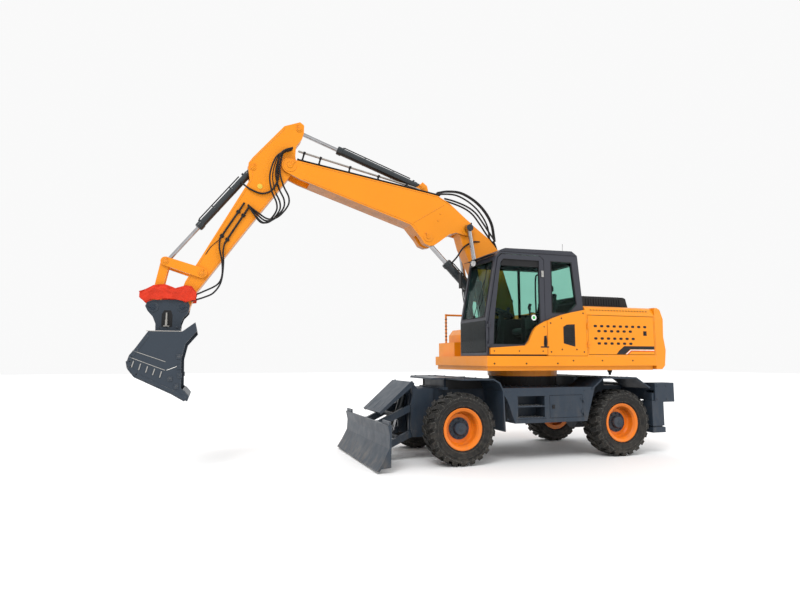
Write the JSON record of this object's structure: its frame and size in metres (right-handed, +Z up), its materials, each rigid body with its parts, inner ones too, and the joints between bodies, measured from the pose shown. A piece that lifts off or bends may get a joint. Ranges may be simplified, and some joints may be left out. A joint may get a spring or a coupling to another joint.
{
  "type": "wheeled excavator",
  "caption": "Wheeled excavator with a two-piece boom, arm and bucket on a turning cab deck, a front dozer blade and drop-down rear stabiliser legs.",
  "frame": {"origin": "on the ground under the middle of the machine's overall length, on the chassis centre plane", "axes": "+X forward towards the bucket, +Y to the machine's left (cab side), +Z up"},
  "size_m": [8.5826, 2.467, 5.369],
  "materials": {
    "orange": "gloss paint",
    "slate": "satin paint",
    "cab_grey": "satin paint",
    "black": "moulded",
    "rubber": "moulded",
    "steel": "polished",
    "cylinder_black": "satin paint",
    "cloth_red": "woven",
    "seat_black": "woven",
    "engine_grey": "as cast"
  },
  "bodies": {
    "chassis": {"chassis_frame": "slate", "front_axle": "slate", "rear_axle": "slate", "left_mudguards": "slate", "right_mudguards": "slate", "slew_ring": "black", "stabiliser_beam": "slate"},
    "toolbox_door": {"toolbox_door": "slate"},
    "left_stabiliser_leg": {"left_stabiliser_leg": "slate"},
    "right_stabiliser_leg": {"right_stabiliser_leg": "slate"},
    "blade": {"blade": "slate"},
    "blade_lower_arm": {"blade_lower_arm": "slate"},
    "blade_upper_arm": {"blade_upper_arm": "slate"},
    "blade_guard": {"blade_guard": "slate"},
    "blade_cylinder": {"blade_cylinder": "cylinder_black"},
    "blade_rod": {"blade_rod": "steel"},
    "front_left_knuckle": {"front_left_knuckle": "slate"},
    "front_right_knuckle": {"front_right_knuckle": "slate"},
    "front_left_wheel": {"front_left_rim": "orange", "front_left_tyre": "rubber"},
    "front_right_wheel": {"front_right_rim": "orange", "front_right_tyre": "rubber"},
    "rear_left_wheel": {"rear_left_rim": "orange", "rear_left_tyre": "rubber"},
    "rear_right_wheel": {"rear_right_rim": "orange", "rear_right_tyre": "rubber"},
    "upper": {"deck_frame": "orange", "cab_shell": "cab_grey", "left_side_panel": "orange", "operator_seat": "seat_black", "cab_controls": "black", "engine_block": "engine_grey", "counterweight": "orange", "engine_cowl": "orange", "right_tank": "orange"},
    "cab_door": {"cab_door": "cab_grey"},
    "left_engine_door": {"left_engine_door": "orange"},
    "right_engine_door": {"right_engine_door": "orange"},
    "engine_hood": {"engine_hood": "black"},
    "base_boom": {"base_boom": "orange"},
    "upper_boom": {"upper_boom": "orange"},
    "arm": {"arm": "orange"},
    "rocker": {"rocker": "orange"},
    "bucket_link": {"bucket_link": "orange"},
    "bucket": {"bucket": "slate", "bucket_bracket": "slate", "left_cloth": "cloth_red", "right_cloth": "cloth_red"},
    "lift_cylinders": {"lift_cylinders": "cylinder_black"},
    "lift_rods": {"left_lift_rod": "steel", "right_lift_rod": "steel"},
    "adjust_cylinder": {"adjust_cylinder": "cylinder_black"},
    "adjust_rod": {"adjust_rod": "steel"},
    "arm_cylinder": {"arm_cylinder": "cylinder_black"},
    "arm_rod": {"arm_rod": "steel"},
    "bucket_cylinder": {"bucket_cylinder": "cylinder_black"},
    "bucket_rod": {"bucket_rod": "steel"}
  },
  "joints": [
    {"name": "swing", "type": "hinge", "parent": "chassis", "child": "upper", "pos_m": [-2.00932, 0, 1.391], "axis": [0, 0, 1], "continuous": true},
    {"name": "left_steer", "type": "hinge", "parent": "chassis", "child": "front_left_knuckle", "pos_m": [-0.34232, 0.78, 0.53491], "axis": [0, 0, 1], "range_deg": [-30, 30]},
    {"name": "right_steer", "type": "hinge", "parent": "chassis", "child": "front_right_knuckle", "pos_m": [-0.34232, -0.78, 0.53491], "axis": [0, 0, 1], "range_deg": [-30, 30]},
    {"name": "front_left_spin", "type": "hinge", "parent": "front_left_knuckle", "child": "front_left_wheel", "pos_m": [-0.34232, 0.932, 0.53491], "axis": [0, 1, 0], "continuous": true},
    {"name": "front_right_spin", "type": "hinge", "parent": "front_right_knuckle", "child": "front_right_wheel", "pos_m": [-0.34232, -0.932, 0.53491], "axis": [0, 1, 0], "continuous": true},
    {"name": "rear_left_spin", "type": "hinge", "parent": "chassis", "child": "rear_left_wheel", "pos_m": [-3.20032, 0.932, 0.53491], "axis": [0, 1, 0], "continuous": true},
    {"name": "rear_right_spin", "type": "hinge", "parent": "chassis", "child": "rear_right_wheel", "pos_m": [-3.20032, -0.932, 0.53491], "axis": [0, 1, 0], "continuous": true},
    {"name": "blade_lift", "type": "hinge", "parent": "chassis", "child": "blade_lower_arm", "pos_m": [0.15868, 0, 0.43], "axis": [0, -1, 0], "range_deg": [-8, 32]},
    {"name": "blade_level", "type": "hinge", "parent": "blade_lower_arm", "child": "blade", "pos_m": [0.72868, 0, 0.17], "axis": [0, -1, 0], "range_deg": [-32.05, 8.05]},
    {"name": "blade_upper_arm_pivot", "type": "hinge", "parent": "chassis", "child": "blade_upper_arm", "pos_m": [0.15868, 0, 0.83], "axis": [0, -1, 0], "range_deg": [-8.05, 32.05]},
    {"name": "blade_guard_hinge", "type": "hinge", "parent": "chassis", "child": "blade_guard", "pos_m": [0.21368, 0, 1.185], "axis": [0, -1, 0], "range_deg": [-7.25, 28.85]},
    {"name": "blade_cylinder_pivot", "type": "hinge", "parent": "chassis", "child": "blade_cylinder", "pos_m": [0.19368, 0, 1.06], "axis": [0, -1, 0], "range_deg": [-1.34, 5.21]},
    {"name": "blade_rod_slide", "type": "slide", "parent": "blade_cylinder", "child": "blade_rod", "axis": [0.288, 0, -0.9576], "range_m": [-0.1333, 0.0344]},
    {"name": "left_stabiliser_slide", "type": "slide", "parent": "chassis", "child": "left_stabiliser_leg", "axis": [0, 0, -1], "range_m": [0, 0.4]},
    {"name": "right_stabiliser_slide", "type": "slide", "parent": "chassis", "child": "right_stabiliser_leg", "axis": [0, 0, -1], "range_m": [0, 0.4]},
    {"name": "toolbox_door_hinge", "type": "hinge", "parent": "chassis", "child": "toolbox_door", "pos_m": [-2.42632, 1.133, 0.83], "axis": [0, 0, 1], "range_deg": [0, 100]},
    {"name": "cab_door_hinge", "type": "hinge", "parent": "upper", "child": "cab_door", "pos_m": [-0.75432, 1.19, 2.3], "axis": [0, 0, -1], "range_deg": [0, 85]},
    {"name": "left_engine_door_hinge", "type": "hinge", "parent": "upper", "child": "left_engine_door", "pos_m": [-2.50932, 1.213, 2], "axis": [0, 0, -1], "range_deg": [0, 100]},
    {"name": "right_engine_door_hinge", "type": "hinge", "parent": "upper", "child": "right_engine_door", "pos_m": [-2.50932, -1.213, 2], "axis": [0, 0, 1], "range_deg": [0, 100]},
    {"name": "engine_hood_hinge", "type": "hinge", "parent": "upper", "child": "engine_hood", "pos_m": [-3.64132, 0, 2.442], "axis": [0, -1, 0], "range_deg": [0, 60]},
    {"name": "base_boom_lift", "type": "hinge", "parent": "upper", "child": "base_boom", "pos_m": [-1.82132, -0.1, 1.9], "axis": [0, 1, 0], "range_deg": [-6, 42]},
    {"name": "upper_boom_fold", "type": "hinge", "parent": "base_boom", "child": "upper_boom", "pos_m": [-0.95049, -0.1, 3.81972], "axis": [0, 1, 0], "range_deg": [-12, 22]},
    {"name": "arm_swing", "type": "hinge", "parent": "upper_boom", "child": "arm", "pos_m": [2.12876, -0.1, 4.62181], "axis": [0, -1, 0], "range_deg": [-45, 35]},
    {"name": "bucket_curl", "type": "hinge", "parent": "arm", "child": "bucket", "pos_m": [3.64132, -0.1, 2.31916], "axis": [0, -1, 0], "range_deg": [-75, 25]},
    {"name": "rocker_pivot", "type": "hinge", "parent": "arm", "child": "rocker", "pos_m": [3.39161, -0.1, 2.83591], "axis": [0, -1, 0], "range_deg": [-45.86, 15.32]},
    {"name": "link_pivot", "type": "hinge", "parent": "rocker", "child": "bucket_link", "pos_m": [3.90032, -0.1, 2.98716], "axis": [0, -1, 0], "range_deg": [-8.82, 26.36]},
    {"name": "lift_cylinder_pivot", "type": "hinge", "parent": "upper", "child": "lift_cylinders", "pos_m": [-1.29132, -0.1, 1.74], "axis": [0, -1, 0], "range_deg": [-44.23, 6.36]},
    {"name": "lift_rod_slide", "type": "slide", "parent": "lift_cylinders", "child": "lift_rods", "axis": [0.1617, 0, 0.9868], "range_m": [-0.3907, 0.0571]},
    {"name": "adjust_cylinder_pivot", "type": "hinge", "parent": "base_boom", "child": "adjust_cylinder", "pos_m": [-1.19126, -0.1, 2.65956], "axis": [0, -1, 0], "range_deg": [-5.75, 3.16]},
    {"name": "adjust_rod_slide", "type": "slide", "parent": "adjust_cylinder", "child": "adjust_rod", "axis": [0.7071, 0, 0.7072], "range_m": [-0.2596, 0.1423]},
    {"name": "arm_cylinder_pivot", "type": "hinge", "parent": "upper_boom", "child": "arm_cylinder", "pos_m": [-0.15115, -0.1, 4.51982], "axis": [0, -1, 0], "range_deg": [-2.32, 1.82]},
    {"name": "arm_rod_slide", "type": "slide", "parent": "arm_cylinder", "child": "arm_rod", "axis": [0.9462, 0, 0.3235], "range_m": [-0.3655, 0.4694]},
    {"name": "bucket_cylinder_pivot", "type": "hinge", "parent": "arm", "child": "bucket_cylinder", "pos_m": [2.69676, -0.1, 4.53667], "axis": [0, -1, 0], "range_deg": [-6.5, 2.2]},
    {"name": "bucket_rod_slide", "type": "slide", "parent": "bucket_cylinder", "child": "bucket_rod", "axis": [0.6134, 0, -0.7898], "range_m": [-0.1153, 0.3428]}
  ],
  "couplings": [
    {"joint": "right_steer", "follows": "left_steer", "ratio": 1},
    {"joint": "blade_level", "follows": "blade_lift", "ratio": -1},
    {"joint": "blade_upper_arm_pivot", "follows": "blade_lift", "ratio": 1},
    {"joint": "blade_guard_hinge", "follows": "blade_lift", "ratio": 0.9},
    {"joint": "blade_cylinder_pivot", "follows": "blade_lift", "ratio": 0.1613},
    {"joint": "blade_rod_slide", "follows": "blade_lift", "m_per_rad": -0.2359},
    {"joint": "rocker_pivot", "follows": "bucket_curl", "ratio": 0.6108},
    {"joint": "link_pivot", "follows": "bucket_curl", "ratio": -0.3507},
    {"joint": "lift_cylinder_pivot", "follows": "base_boom_lift", "ratio": -1.0519},
    {"joint": "lift_rod_slide", "follows": "base_boom_lift", "m_per_rad": -0.5309},
    {"joint": "adjust_cylinder_pivot", "follows": "upper_boom_fold", "ratio": -0.2589},
    {"joint": "adjust_rod_slide", "follows": "upper_boom_fold", "m_per_rad": -0.6722},
    {"joint": "arm_cylinder_pivot", "follows": "arm_swing", "ratio": 0.0505},
    {"joint": "arm_rod_slide", "follows": "arm_swing", "m_per_rad": -0.5958},
    {"joint": "bucket_cylinder_pivot", "follows": "bucket_curl", "ratio": 0.086},
    {"joint": "bucket_rod_slide", "follows": "bucket_curl", "m_per_rad": -0.2607}
  ]
}
